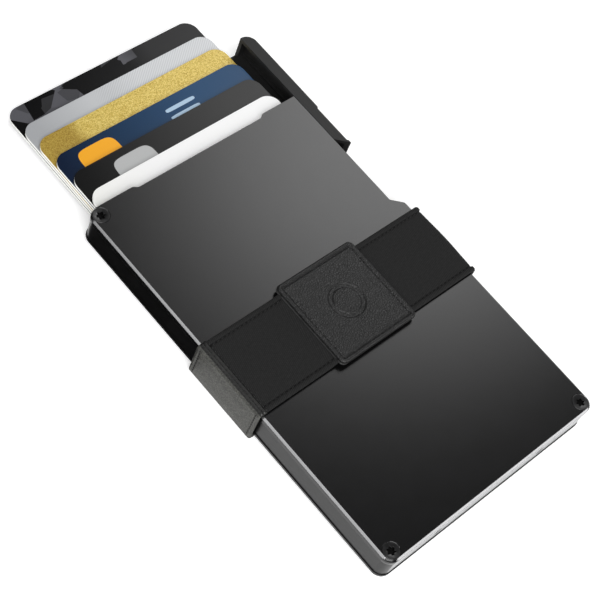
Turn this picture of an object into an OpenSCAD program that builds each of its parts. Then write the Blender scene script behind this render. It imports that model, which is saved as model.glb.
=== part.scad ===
// Minimalist wallet: two plates around a frame, a side slide that fans six cards, and an elastic band.
// X runs across the wallet, Y towards the card exit, Z out of the front plate.
// The origin lies on the underside of the band, below the middle of the plates.
// The slide is drawn pushed up, with the cards fanned out.

/* [Cards] */
// Width of a card
card_w = 53.98; // [42:0.01:66]
// Length of a card
card_l = 85.6; // [70:0.1:104]
// Thickness of a card
card_t = 0.8; // [0.6:0.01:1]
// Free gap between two cards in the stack
card_air = 0.083; // [0.06:0.001:0.15]
// Corner radius of a card
card_r = 3.18; // [2:0.01:4]
// How far each card is lifted by the slide, rearmost card first
lifts = [33.45, 27.88, 22.81, 16.91, 10.91, 4.72];

/* [Plates and frame] */
// Thickness of the front plate
front_t = 1.6; // [1.2:0.05:2.4]
// Thickness of the rear plate
rear_t = 0.9; // [0.8:0.05:1.6]
// Radius of the plates' corners in plan
corner_r = 2.6; // [2:0.1:4]
// Width of the bevel round the front plate
front_bevel = 0.5; // [0.2:0.05:0.8]
// Width of the bevel round the rear plate
rear_bevel = 0.25; // [0.1:0.05:0.4]
// How far the frame stands back from the plates' edges
frame_inset = 0.2; // [0.1:0.05:0.5]
// Thickness of the frame's left wall
left_wall = 3.7; // [3.5:0.1:6]
// Thickness of the frame's bottom wall
bottom_wall = 1.9; // [1.6:0.1:3]
// Width of the strip right of the cards that holds the guide rail and the slide
right_strip = 5.25; // [5:0.05:7]
// Distance of the screws from the nearest side edge
screw_inset = 2.45; // [2.2:0.05:3]
// Depth of the thumb notch in the front plate's top edge
thumb_depth = 0.75; // [0.4:0.05:2]
// Width of the thumb notch in the front plate's top edge
thumb_w = 38.6; // [20:0.1:42]

/* [Slide] */
// Travel of the slide
slide_travel = 19.3; // [14:0.1:24]
// Width of the slide cap
cap_w = 2.85; // [2.6:0.05:3.2]
// Length of the slide cap along its inner edge
cap_l = 33.6; // [28:0.1:42]
// Wall thickness of the slide cap
cap_wall = 0.9; // [0.7:0.05:1]
// Thickness of the slide arm
arm_t = 0.45; // [0.3:0.05:0.6]
// Width of the slide arm's strips
arm_w = 4.9; // [3:0.1:6]

/* [Fan lever] */
// Radius of the lever's pivot pin
pivot_r = 1.2; // [0.9:0.05:1.4]
// Radius of the lever's hub
hub_r = 2.6; // [2.3:0.05:2.8]
// Height of a finger's top edge over the pivot when the fan is closed
finger_rise = 3.6; // [3.5:0.05:5]
// Thickness of a finger
finger_t = 0.78; // [0.5:0.01:0.8]
// Radius of the drive pin
drive_r = 0.9; // [0.7:0.05:1]

/* [Band] */
// Thickness of the elastic band
band_t = 0.95; // [0.7:0.05:1.4]
// Width of the elastic band
band_w = 19.8; // [15:0.1:26]
// Middle of the band along the wallet
band_y = 0.6; // [-10:0.1:1]
// Gap between the band and the plates
band_gap = 0.08; // [0.05:0.01:0.3]
// Side of the leather patch across the wallet
patch_w = 22.8; // [14:0.1:26]
// Side of the leather patch along the wallet
patch_l = 22.5; // [14:0.1:26]
// Thickness of the leather patch
patch_t = 0.72; // [0.5:0.01:1.5]
// Thickness of the patch's backing
backing_t = 0.45; // [0.3:0.01:1]
// Middle of the patch across the wallet
patch_x = 1.0; // [-8:0.1:8]
// Middle of the patch along the wallet
patch_y = 0.75; // [-8:0.05:8]

/* [Hidden] */
$fn = 64;
eps = 0.5;

// Clearances
card_gap_left = 0.185;
card_gap_right = 0.385;
card_gap_front = 0.15;
card_gap_rear = 0.235;
top_inset = 0.2;
run_gap = 0.1;
rail_gap = 0.15;
pin_gap = 0.05;
drive_gap = 0.08;
lever_gap = 0.2;
hub_gap = 0.25;
screw_gap = 0.05;

// Card stack
card_count = len(lifts);
card_pitch = card_t + card_air;
stack_t = (card_count - 1) * card_pitch + card_t;
cavity_t = card_gap_rear + stack_t + card_gap_front;

// Fan lever: every finger is an involute of a base circle round the pivot, so its card rises in
// proportion to the swing; the drive slot is an involute too, so the swing follows the slide.
pivot_in = 0.95;
tip_blunt = 0.8;
fan_reach = card_gap_left + card_w + card_gap_right - pivot_in - hub_gap;
rear_base = sqrt(pow(fan_reach, 2) - pow(finger_rise + lifts[0], 2));
swing_rad = lifts[0] / rear_base;
swing = swing_rad * 180 / PI;
drive_base = slide_travel / swing_rad;
drive_rise = 1.25;
slotted_fingers = 3;
curve_steps = 24;

// Point of an involute that a level line touches after the lever has turned by a degrees
function involute(base, rise, a) = let (reach = rise + base * a * PI / 180)
    [base * cos(a) + reach * sin(a), reach * cos(a) - base * sin(a)];
function involute_curve(base, rise) =
    [for (i = [0 : curve_steps]) involute(base, rise, swing * i / curve_steps)];

lever_floor = min(involute(rear_base, finger_rise, swing)[1] - tip_blunt, -hub_r);

// Plates
plate_w = frame_inset + left_wall + card_gap_left + card_w + card_gap_right + right_strip;
lever_bay = run_gap + finger_rise - lever_floor + lever_gap + bottom_wall + frame_inset;
plate_l = top_inset + card_l + lever_bay;
plate_top = plate_l / 2;
right_edge = plate_w / 2;

// Heights
rear_out = band_t + band_gap;
rear_in = rear_out + rear_t;
front_in = rear_in + cavity_t;
front_out = front_in + front_t;
stack_z = rear_in + card_gap_rear;

// Frame
frame_left = frame_inset - right_edge;
wall_left = frame_left + left_wall;
wall_right = right_edge - right_strip;
wall_bottom = frame_inset + bottom_wall - plate_top;
block_h = 3.3;
card_x = wall_left + card_gap_left + card_w / 2;
card_floor = plate_top - top_inset - card_l;
pivot_x = wall_left + pivot_in;
pivot_y = card_floor - run_gap - finger_rise;

// Slide
cap_in = right_edge - cap_w;
notch_x = cap_in - run_gap;
notch_y = plate_top - cap_l;
cap_low = notch_y + run_gap + slide_travel;
cap_top = plate_top + run_gap + slide_travel;
cap_floor = rear_in + run_gap;
cap_rib_h = 1.5;
cap_rib_w = 0.6;
cap_round = 2.6;
cap_flange_t = 0.7;
cap_lip = 1.55;
grip_depth = 0.35;
grip_l = 11;
grip_from_end = 0.8;
arm_z = cap_floor - arm_t;
arm_recess_z = arm_z - pin_gap;
arm_tab_l = 10;
arm_tab_y = cap_low + 0.7;
arm_tab_x = cap_in + 1.5;
arm_side_gap = 0.2;
arm_right = wall_right - arm_side_gap;
drive_x = pivot_x + drive_base;
drive_y = pivot_y + drive_rise + slide_travel;
drive_head = stack_z + (slotted_fingers - 1) * card_pitch + finger_t;
slide_rivet_r = 0.5;
slide_rivets_y = [1.5, 5, 8.5];

// Guide rail
rail_base_y = notch_y - cap_w - 3 * run_gap;
rail_top = plate_top - cap_wall - 1.8;
rail_web_z = cap_floor + cap_flange_t + run_gap;
rail_shelf_z = cap_floor + cap_rib_h + rail_gap;
rail_tongue_top = front_in - 1.35;
rail_out = right_edge - cap_wall - rail_gap;
rail_tongue_l = 8;
rail_tongue_w = 2.2;
rail_tongue_h = 2.6;
dowel_r = 0.6;
dowels_y = [2.2, 5.8];

// Screws
head_r = 1.95;
head_h = 1.0;
shank_r = 0.95;
front_screw_l = 4.6;
rear_head_r = 1.8;
rear_head_h = 0.8;
rear_screw_l = 3.1;
top_screw_inset = 2.15;
screw_spots = [
    [-right_edge + screw_inset, plate_top - top_screw_inset],
    [-right_edge + screw_inset, -plate_top + screw_inset],
    [right_edge - screw_inset, -plate_top + screw_inset]
];
recess_w = 0.45;
recess_d = 0.55;
end_head_r = 1.0;
end_head_h = 0.45;
end_shank_r = 0.55;
end_screw_l = 1.7;
end_spots = [-plate_w / 4, plate_w / 4];
end_plate_t = 0.5;
end_plate_h = cavity_t - 0.8;
end_plate_w = plate_w - 4 * corner_r;

// Card spring
spring_l = 22;
spring_t = 0.2;
spring_h = 4.2;
spring_rest = 0.13;
spring_bow = 0.7;
spring_pocket = 1.05;
spring_top = plate_top - 8;

// Lever rivets
lever_rivet_r = 0.7;
lever_rivet_spots = [[4.4, 0.5], [7.6, 0]];

// Band
band_round = 1.0;
band_inner_w = plate_w + 2 * band_gap;
band_inner_h = front_out - rear_out + 2 * band_gap;
band_fold = 0.5;
band_top = front_out + band_gap + band_t;
patch_r = 1.3;
backing_margin = 0.25;

steel = "silver";
black = [0.12, 0.12, 0.13];

// ---- shared shapes ----

module rounded_rect(w, l, r) {
    square([w, l - 2 * r], center = true);
    square([w - 2 * r, l], center = true);
    for (sx = [-1, 1], sy = [-1, 1])
        translate([sx * (w / 2 - r), sy * (l / 2 - r)]) circle(r);
}

// Outline that a bevel of width c takes off an edge which lies at distance reach
module bevel_profile(reach, c)
    polygon([[reach - c, 0], [reach + 1, -c - 1], [reach + 1, 1], [reach - c, 1]]);

module side_bevel(reach, length, c)
    translate([0, length / 2, 0]) rotate([90, 0, 0]) linear_extrude(length) bevel_profile(reach, c);

module corner_bevel(c)
    rotate_extrude(angle = 90) bevel_profile(corner_r, c);

// Bevels along the left, bottom and right edges and round the corners, below the level z = 0
module plate_bevels(c) {
    side_bevel(right_edge, plate_l - 2 * corner_r, c);
    rotate(180) side_bevel(right_edge, plate_l - 2 * corner_r, c);
    rotate(-90) side_bevel(plate_top, plate_w - 2 * corner_r, c);
    for (turn = [[1, 1, 0], [-1, 1, 90], [-1, -1, 180], [1, -1, 270]])
        translate([turn[0] * (right_edge - corner_r), turn[1] * (plate_top - corner_r), 0])
            rotate(turn[2]) corner_bevel(c);
}

module slide_notch()
    polygon([
        [notch_x, plate_top + 1], [notch_x, notch_y], [right_edge + 1, notch_y - cap_w - 1 - run_gap],
        [right_edge + 1, plate_top + 1]
    ]);

// Shallow cut with two S-shaped ends
module thumb_notch() {
    ramp = 1.6;
    steps = 8;
    half = thumb_w / 2;
    side = [for (i = [0 : steps]) [ramp * i / steps, thumb_depth * (1 - cos(180 * i / steps)) / 2]];
    polygon(concat(
        [[-half, 1]],
        [for (p = side) [p[0] - half, -p[1]]],
        [for (i = [steps : -1 : 0]) [half - side[i][0], -side[i][1]]],
        [[half, 1]]
    ));
}

// Countersunk screw with its head's top at z = 0, pointing down, with a cross recess
module screw(head, head_deep, shank, length)
    difference() {
        union() {
            translate([0, 0, -head_deep]) cylinder(r1 = shank, r2 = head, h = head_deep);
            translate([0, 0, -length]) cylinder(r = shank, h = length - head_deep);
        }
        for (a = [0, 90])
            rotate(a) translate([-head * 0.55, -recess_w / 2, -recess_d * head_deep])
                cube([head * 1.1, recess_w, head_deep]);
    }

module screw_hole(head, head_deep, shank, length) {
    translate([0, 0, -head_deep]) cylinder(r1 = shank + screw_gap, r2 = head + screw_gap, h = head_deep);
    cylinder(r = head + screw_gap, h = eps);
    translate([0, 0, -length]) cylinder(r = shank + screw_gap, h = length - head_deep + 0.01);
}

// ---- plates and frame ----

module front_plate()
    color([0.17, 0.17, 0.18])
    difference() {
        translate([0, 0, front_in]) linear_extrude(front_t)
            difference() {
                rounded_rect(plate_w, plate_l, corner_r);
                slide_notch();
                translate([0, plate_top]) thumb_notch();
            }
        translate([0, 0, front_out]) plate_bevels(front_bevel);
        for (s = screw_spots)
            translate([s[0], s[1], front_out]) screw_hole(head_r, head_h, shank_r, front_t + eps);
        translate([pivot_x, pivot_y, front_in - eps]) cylinder(r = pivot_r, h = eps + front_t / 2);
    }

module arm_outline(sweep, gap) {
    low = drive_y - arm_w / 2 - gap - sweep;
    high = drive_y + arm_w / 2 + gap;
    left = drive_x - arm_w / 2 - gap;
    translate([left, low]) square([arm_right + gap - left, high - low]);
    translate([arm_right - arm_w - gap, low])
        square([arm_w + 2 * gap, arm_tab_y + arm_tab_l + gap - low]);
    translate([arm_right - arm_w - gap, arm_tab_y - gap - sweep])
        square([arm_tab_x - arm_right + arm_w + 2 * gap, arm_tab_l + 2 * gap + sweep]);
}

module rear_plate()
    color([0.15, 0.15, 0.16])
    difference() {
        translate([0, 0, rear_out]) linear_extrude(rear_t) rounded_rect(plate_w, plate_l, corner_r);
        translate([0, 0, rear_out]) mirror([0, 0, 1]) plate_bevels(rear_bevel);
        translate([0, 0, arm_recess_z]) linear_extrude(rear_t + eps)
            arm_outline(slide_travel, run_gap);
        for (s = screw_spots)
            translate([s[0], s[1], rear_out]) mirror([0, 0, 1])
                screw_hole(rear_head_r, rear_head_h, shank_r, rear_t + eps);
        translate([pivot_x, pivot_y, rear_in - rear_t / 2]) cylinder(r = pivot_r, h = rear_t + eps);
    }

module frame_outline()
    difference() {
        rounded_rect(plate_w - 2 * frame_inset, plate_l - 2 * frame_inset, corner_r - frame_inset);
        // card pocket and lever bay, open at the top
        translate([wall_left, wall_bottom]) square([wall_right - wall_left, plate_l]);
        // side of the slide
        translate([wall_right - 1, rail_base_y]) square([right_strip + 2, plate_l]);
        // room for the lever's hub and its raised fingers
        translate([pivot_x, pivot_y]) circle(hub_r + hub_gap);
        for (lift = lifts, gap = [0, hub_gap])
            translate([pivot_x - gap, pivot_y]) rotate(swing) finger_blade(lift);
    }

module frame()
    color([0.1, 0.1, 0.1])
    difference() {
        union() {
            translate([0, 0, rear_in]) linear_extrude(cavity_t) frame_outline();
            // corner block under the left screw
            translate([wall_left - eps, wall_bottom - eps, rear_in])
                cube([pivot_in + eps, block_h + eps, cavity_t]);
        }
        for (s = screw_spots) {
            translate([s[0], s[1], front_out - front_screw_l]) cylinder(r = shank_r, h = front_screw_l);
            translate([s[0], s[1], rear_out]) cylinder(r = shank_r, h = rear_screw_l);
        }
        // seat of the end plate and its screws
        translate([-end_plate_w / 2, -plate_top, rear_in + (cavity_t - end_plate_h) / 2])
            cube([end_plate_w, frame_inset + end_plate_t, end_plate_h]);
        for (x = end_spots)
            translate([x, frame_inset - plate_top + end_screw_l, rear_in + cavity_t / 2])
                rotate([90, 0, 0]) cylinder(r = end_shank_r, h = end_screw_l);
        // socket of the guide rail
        rail_tongue();
        // dowel holes
        dowels(eps);
        // pocket of the card spring
        translate([
            wall_left - spring_pocket, spring_top - spring_l - 1, rear_in + (cavity_t - spring_h) / 2 - 0.1
        ])
            cube([spring_pocket + eps, spring_l + 2, spring_h + 0.2]);
    }

module end_plate()
    color([0.3, 0.3, 0.31])
    difference() {
        translate([-end_plate_w / 2, frame_inset - plate_top, rear_in + (cavity_t - end_plate_h) / 2])
            cube([end_plate_w, end_plate_t, end_plate_h]);
        for (x = end_spots)
            translate([x, frame_inset - plate_top, rear_in + cavity_t / 2]) rotate([90, 0, 0])
                screw_hole(end_head_r, end_head_h, end_shank_r, end_plate_t + eps);
    }

module front_screws()
    color(black)
    for (s = screw_spots)
        translate([s[0], s[1], front_out]) screw(head_r, head_h, shank_r, front_screw_l);

module rear_screws()
    color(black)
    for (s = screw_spots)
        translate([s[0], s[1], rear_out]) mirror([0, 0, 1])
            screw(rear_head_r, rear_head_h, shank_r, rear_screw_l);

module end_screws()
    color(black)
    for (x = end_spots)
        translate([x, frame_inset - plate_top, rear_in + cavity_t / 2]) rotate([90, 0, 0])
            screw(end_head_r, end_head_h, end_shank_r, end_screw_l);

// ---- guide rail ----

module rail_tongue()
    translate([
        (wall_right + rail_out) / 2, rail_base_y - rail_tongue_l,
        (rail_shelf_z + front_in - rail_tongue_h) / 2
    ])
        cube([rail_tongue_w, rail_tongue_l + 0.01, rail_tongue_h]);

module dowels(extra)
    for (y = dowels_y)
        translate([(wall_right + rail_out + rail_tongue_w) / 2, rail_base_y - y, rail_shelf_z])
            cylinder(r = dowel_r, h = front_in - rail_shelf_z + extra);

module guide_rail()
    color(steel)
    difference() {
        union() {
            // foot of the web beside the cards, clear of the slide's lip and the arm's tab
            translate([wall_right, rail_base_y, cap_floor + run_gap])
                cube([cap_in - cap_lip - run_gap - wall_right, rail_top - rail_base_y, cap_flange_t + eps]);
            translate([wall_right, rail_base_y, rail_web_z])
                cube([notch_x - pin_gap - wall_right, rail_top - rail_base_y, front_in - rail_web_z]);
            // tongue inside the slide cap, low enough to stay out of sight behind the front plate
            translate([notch_x - 1, rail_base_y, rail_shelf_z])
                cube([rail_out - notch_x + 1, rail_top - rail_base_y, rail_tongue_top - rail_shelf_z]);
            rail_tongue();
        }
        dowels(eps);
    }

module rail_dowels()
    color(steel)
    dowels(0);

module pivot_pin()
    color(steel)
    translate([pivot_x, pivot_y, rear_in - rear_t / 2])
        cylinder(r = pivot_r, h = cavity_t + rear_t / 2 + front_t / 2);

// ---- card spring ----

// Leaf bowed towards the cards, its ends resting on the pocket's floor
module card_spring() {
    crest = wall_left + spring_rest;
    steps = 16;
    bow = [for (i = [0 : steps]) [
        crest - spring_bow * (1 + cos(360 * i / steps)) / 2,
        spring_top - spring_l * i / steps
    ]];
    color(steel)
    translate([0, 0, rear_in + (cavity_t - spring_h) / 2]) linear_extrude(spring_h)
        polygon(concat(bow, [for (i = [steps : -1 : 0]) bow[i] - [spring_t, 0]]));
}

// ---- slide ----

module cap_outline(top)
    difference() {
        union() {
            polygon([
                [cap_in, cap_low], [right_edge, cap_low - cap_w], [right_edge, top - cap_round],
                [right_edge - cap_round, top], [cap_in, top]
            ]);
            intersection() {
                translate([right_edge - cap_round, top - cap_round]) circle(cap_round);
                translate([cap_in, cap_low]) square([cap_w, top - cap_low]);
            }
        }
        // hollow of the thumb grip
        translate([right_edge, cap_low - cap_w + grip_from_end])
            polygon([[0, 0], [-grip_depth, grip_depth], [-grip_depth, grip_l - grip_depth], [0, grip_l]]);
    }

module slide_cap()
    color([0.29, 0.29, 0.29])
    difference() {
        union() {
            translate([0, 0, cap_floor]) linear_extrude(front_out - cap_floor) cap_outline(cap_top);
            // lip towards the cards, under the guide rail's web
            translate([cap_in - cap_lip, cap_low, cap_floor])
                cube([cap_lip + eps, cap_top - cap_low, cap_flange_t]);
        }
        // channel, open towards the cards and at its lower end
        translate([cap_in - 1, cap_low - cap_w - 1, cap_floor + cap_rib_h])
            cube([cap_w - cap_wall + 1, cap_top - cap_wall - cap_low + cap_w + 1,
                  front_out - cap_wall - cap_floor - cap_rib_h]);
        translate([cap_in - 1, cap_low - cap_w - 1, cap_floor + cap_flange_t])
            cube([cap_w - cap_wall - cap_rib_w + 1, cap_top - cap_wall - cap_low + cap_w + 1, cap_rib_h]);
        slide_rivet_shafts();
    }

module slide_arm()
    color(steel)
    difference() {
        translate([0, 0, arm_z]) linear_extrude(arm_t) arm_outline(0, 0);
        slide_rivet_shafts();
        translate([drive_x, drive_y, arm_z - eps]) cylinder(r = drive_r, h = arm_t + 2 * eps);
    }

module slide_rivet_shafts()
    for (y = slide_rivets_y)
        translate([cap_in + slide_rivet_r + 0.2, arm_tab_y + y, arm_z])
            cylinder(r = slide_rivet_r, h = cap_floor + cap_flange_t - arm_z);

module slide_rivets()
    color(steel)
    slide_rivet_shafts();

module drive_pin()
    color(steel)
    translate([drive_x, drive_y, arm_z]) cylinder(r = drive_r, h = drive_head - arm_z);

// ---- fan lever ----

// Slot that the drive pin runs in, between two parallel involutes
module drive_slot() {
    half = drive_r + drive_gap;
    upper = involute_curve(drive_base, drive_rise + half);
    lower = involute_curve(drive_base, drive_rise - half);
    polygon(concat(upper, [for (i = [curve_steps : -1 : 0]) lower[i]]));
    for (a = [0, swing])
        translate(involute(drive_base, drive_rise, a)) circle(half);
}

// Blade of one finger with the fan closed and the pivot at the origin
module finger_blade(lift) {
    base = lift / swing_rad;
    lead = 1;
    web = 4.4;
    web_start = 14;
    hub_root = 0.6 * hub_r;
    edge = involute_curve(base, finger_rise);
    tip = edge[curve_steps];
    low = max(tip[1] - web, lever_floor);
    polygon(concat(
        [[-hub_root, 0], [0, hub_root], [base - lead, finger_rise]], edge,
        [[tip[0] - tip_blunt / 4, max(tip[1] - tip_blunt, low)], [tip[0] - tip_blunt, low],
         [min(web_start, tip[0] / 2), low], [0, -hub_root]]
    ));
}

module fan_finger(i)
    color([0.7, 0.7, 0.72])
    translate([pivot_x, pivot_y, stack_z + (i - 1) * card_pitch]) rotate(swing)
        difference() {
            union() {
                cylinder(r = hub_r, h = finger_t);
                linear_extrude(finger_t) finger_blade(lifts[i - 1]);
            }
            translate([0, 0, -eps]) {
                cylinder(r = pivot_r + pin_gap, h = finger_t + 2 * eps);
                for (s = lever_rivet_spots)
                    translate(s) cylinder(r = lever_rivet_r, h = finger_t + 2 * eps);
                if (i <= slotted_fingers)
                    linear_extrude(finger_t + 2 * eps) drive_slot();
            }
        }

module lever_rivets()
    color(steel)
    translate([pivot_x, pivot_y, stack_z]) rotate(swing)
        for (s = lever_rivet_spots)
            translate([s[0], s[1], 0])
                cylinder(r = lever_rivet_r, h = (card_count - 1) * card_pitch + finger_t);

// ---- cards ----

module card(i, tint)
    color(tint)
    translate([card_x, card_floor + card_l / 2 + lifts[i - 1], stack_z + (i - 1) * card_pitch])
        linear_extrude(card_t) rounded_rect(card_w, card_l, card_r);

// ---- band ----

module band_ring()
    translate([0, (rear_out + front_out) / 2])
        difference() {
            rounded_rect(band_inner_w + 2 * band_t, band_inner_h + 2 * band_t, band_round);
            square([band_inner_w, band_inner_h], center = true);
        }

// Part of the ring between two corners in the XZ plane, as long as the band is wide
module band_part(low, high)
    translate([0, band_y + band_w / 2, 0]) rotate([90, 0, 0]) linear_extrude(band_w)
        intersection() {
            band_ring();
            translate(low) square(high - low);
        }

module band_front()
    color([0.2, 0.2, 0.2])
    band_part([-plate_w, front_out - band_fold], [plate_w, band_top + 1]);

module band_back()
    color([0.2, 0.2, 0.2])
    band_part([-plate_w, -1], [plate_w, rear_out + band_fold]);

module band_right_fold()
    color([0.22, 0.22, 0.22])
    band_part([0, rear_out + band_fold], [plate_w, front_out - band_fold]);

module band_side_tab()
    color([0.3, 0.3, 0.28])
    band_part([-plate_w, rear_out + band_fold], [0, front_out - band_fold]);

module patch_backing()
    color([0.16, 0.16, 0.16])
    translate([patch_x, patch_y, band_top]) linear_extrude(backing_t)
        rounded_rect(patch_w, patch_l, patch_r);

module leather_patch()
    color([0.26, 0.26, 0.26])
    translate([patch_x, patch_y, band_top + backing_t]) linear_extrude(patch_t)
        rounded_rect(patch_w - 2 * backing_margin, patch_l, patch_r);

front_plate();
rear_plate();
frame();
end_plate();
front_screws();
rear_screws();
end_screws();
guide_rail();
rail_dowels();
pivot_pin();
card_spring();
slide_cap();
slide_arm();
slide_rivets();
drive_pin();
fan_finger(1);  // fan_finger_1
fan_finger(2);  // fan_finger_2
fan_finger(3);  // fan_finger_3
fan_finger(4);  // fan_finger_4
fan_finger(5);  // fan_finger_5
fan_finger(6);  // fan_finger_6
lever_rivets();
card(1, [0.1, 0.1, 0.1]);  // card_1
card(2, [0.7, 0.7, 0.72]);  // card_2
card(3, [0.85, 0.7, 0.35]);  // card_3
card(4, [0.15, 0.22, 0.4]);  // card_4
card(5, [0.27, 0.27, 0.27]);  // card_5
card(6, [0.95, 0.95, 0.95]);  // card_6
band_front();
band_back();
band_right_fold();
band_side_tab();
patch_backing();
leather_patch();
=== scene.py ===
"""Looks of a slim card wallet: plates round a frame, a slide that fans six cards, and an elastic band."""

import math

import bmesh
import bpy
from bpy.props import FloatProperty, FloatVectorProperty, IntProperty, PointerProperty
from bpy.types import Operator, Panel, PropertyGroup
from mathutils import Matrix, Quaternion, Vector


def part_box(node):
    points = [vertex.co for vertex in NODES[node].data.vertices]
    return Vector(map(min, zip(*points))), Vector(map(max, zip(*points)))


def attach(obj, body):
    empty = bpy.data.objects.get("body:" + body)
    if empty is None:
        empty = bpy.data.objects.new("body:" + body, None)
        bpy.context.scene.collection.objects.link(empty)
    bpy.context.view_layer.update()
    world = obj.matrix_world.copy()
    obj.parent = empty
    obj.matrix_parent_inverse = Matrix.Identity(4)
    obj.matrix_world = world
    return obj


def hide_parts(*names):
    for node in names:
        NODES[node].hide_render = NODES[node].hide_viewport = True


bl_info = {
    "name": "Card Wallet Looks",
    "version": (1, 0, 0),
    "blender": (4, 5, 0),
    "location": "View3D > Sidebar > Wallet",
    "description": "Builds the visible pieces of a slim card wallet around its fixed frame",
    "category": "Add Mesh",
}

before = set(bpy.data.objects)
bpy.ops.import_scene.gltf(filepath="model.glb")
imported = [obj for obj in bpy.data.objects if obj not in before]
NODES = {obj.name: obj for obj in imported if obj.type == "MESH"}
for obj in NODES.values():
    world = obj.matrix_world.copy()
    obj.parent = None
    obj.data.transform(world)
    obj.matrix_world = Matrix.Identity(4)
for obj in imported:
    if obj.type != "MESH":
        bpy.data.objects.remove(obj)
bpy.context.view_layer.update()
MM = 0.001
# Distance between a wave texture's bands at scale 1
WAVE_PITCH = 0.314
# Plain white of the floor's mottle and the room
WHITE = (1, 1, 1, 1)


# ---- values and small helpers ----


def srgb(code):
    """Linear RGBA of an sRGB hex colour."""
    parts = [int(code[i : i + 2], 16) / 255 for i in (0, 2, 4)]
    return [p / 12.92 if p <= 0.04045 else ((p + 0.055) / 1.055) ** 2.4 for p in parts] + [1.0]


def colour(name, text, code):
    return FloatVectorProperty(
        name=name, description=text, default=srgb(code), size=4, min=0, max=1, subtype="COLOR")


def length(name, text, mm):
    return FloatProperty(name=name, description=text, default=mm * MM, min=0, unit="LENGTH", precision=5)


def factor(name, text, value):
    return FloatProperty(name=name, description=text, default=value, min=0, max=1, subtype="FACTOR")


def size_of(node):
    low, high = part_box(node)
    return low, high, (low + high) / 2


def link_object(name, data, materials=()):
    """New object in the scene, with its materials on its mesh."""
    obj = bpy.data.objects.new(name, data)
    bpy.context.scene.collection.objects.link(obj)
    for material in materials:
        data.materials.append(material)
    return obj


def make_object(name, mesh, materials, body, stands_for=()):
    """Object at the origin that moves with a body and takes its finish from a slot."""
    mesh.name = name
    obj = link_object(name, mesh, materials)
    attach(obj, body)
    if stands_for:
        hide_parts(*stands_for)
    return obj


def mesh_from(bm, smooth=True):
    for face in bm.faces:
        face.smooth = smooth
    mesh = bpy.data.meshes.new("made")
    bm.to_mesh(mesh)
    bm.free()
    return mesh


def merged_copy(node):
    """A CAD node's triangles as one closed shell with whole flat faces."""
    bm = bmesh.new()
    bm.from_mesh(NODES[node].data)
    bmesh.ops.remove_doubles(bm, verts=bm.verts, dist=0.0005 * MM)
    bmesh.ops.dissolve_limit(bm, angle_limit=math.radians(0.5), verts=bm.verts, edges=bm.edges)
    return bm


def soften_edges(obj, width, segments=2, angle=28, material=-1):
    """Small rounded edges that catch the light."""
    bevel = obj.modifiers.new("softened edges", "BEVEL")
    bevel.limit_method = "ANGLE"
    bevel.angle_limit = math.radians(angle)
    bevel.width = width
    bevel.segments = segments
    bevel.material = material
    level = obj.modifiers.new("flat faces stay flat", "WEIGHTED_NORMAL")
    level.weight = 100


def next_ring(bm, edges, place):
    """Extrudes a ring of edges and moves each new point to place(its position)."""
    made = bmesh.ops.extrude_edge_only(bm, edges=edges)["geom"]
    verts = {g for g in made if isinstance(g, bmesh.types.BMVert)}
    for v in verts:
        v.co = place(v.co)
    return [g for g in made if isinstance(g, bmesh.types.BMEdge) and set(g.verts) <= verts]


def close_ring(bm, edges):
    bmesh.ops.contextual_create(bm, geom=edges)


def add_stitch(bm, at, along, out, stitch_length, thread):
    """One stitch of thread, lying along a direction on a surface whose outward side is given."""
    along = along.normalized()
    side = out.cross(along).normalized()
    turn = Matrix((along, side, out)).transposed().to_4x4()
    scale = Matrix.Diagonal((stitch_length / 2, thread / 2, thread / 2, 1))
    bmesh.ops.create_uvsphere(
        bm, u_segments=8, v_segments=6, radius=1, matrix=Matrix.Translation(at) @ turn @ scale
    )


def smooth_step(x, low, high):
    t = min(max((x - low) / (high - low), 0), 1)
    return t * t * (3 - 2 * t)


# ---- materials ----


def add(tree, kind, inputs=None, **settings):
    """Adds a node with its settings; an input takes a value, a socket, or a node's own output."""
    node = tree.nodes.new("ShaderNode" + kind)
    for key, value in settings.items():
        setattr(node, key, value)
    for key, value in (inputs or {}).items():
        socket = node.inputs[key] if isinstance(key, int) else next(
            s for s in node.inputs if s.enabled and s.name == key
        )
        if isinstance(value, bpy.types.Node):
            value = next(s for s in value.outputs if s.enabled)
        if isinstance(value, bpy.types.NodeSocket):
            tree.links.new(value, socket)
        else:
            socket.default_value = value
    return node


def ramp_stops(node, stops):
    """Sets a colour ramp's stops from (position, linear colour) pairs."""
    ramp = node.color_ramp
    while len(ramp.elements) < len(stops):
        ramp.elements.new(1.0)
    for element, (position, value) in zip(ramp.elements, stops):
        element.position = position
        element.color = value
    return node


def new_material(name, roughness, **sockets):
    """Material with one Principled shader; returns it, its tree, its shader and object coordinates."""
    material = bpy.data.materials.new(name)
    material.use_nodes = True
    tree = material.node_tree
    tree.nodes.clear()
    shader = add(tree, "BsdfPrincipled", {"Roughness": roughness})
    for key, value in sockets.items():
        shader.inputs[key.replace("_", " ")].default_value = value
    add(tree, "OutputMaterial", {"Surface": shader})
    coords = add(tree, "TexCoord").outputs["Object"]
    return material, tree, shader, coords


def join(tree, source, target):
    if isinstance(source, bpy.types.Node):
        source = next(s for s in source.outputs if s.enabled)
    tree.links.new(source, target)


def distance_from(tree, vector, axis, middle):
    """Distance of a vector's X, Y or Z from a value."""
    axes = add(tree, "SeparateXYZ", {0: vector})
    away = add(tree, "Math", {0: axes.outputs[axis], 1: middle}, operation="SUBTRACT")
    return add(tree, "Math", {0: away}, operation="ABSOLUTE")


def dress(tree, shader, tint, height, strength, distance):
    """Gives a shader its colour and the bump of a height."""
    join(tree, tint, shader.inputs["Base Color"])
    bump = add(tree, "Bump", {"Height": height, "Strength": strength, "Distance": distance})
    join(tree, bump, shader.inputs["Normal"])


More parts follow.
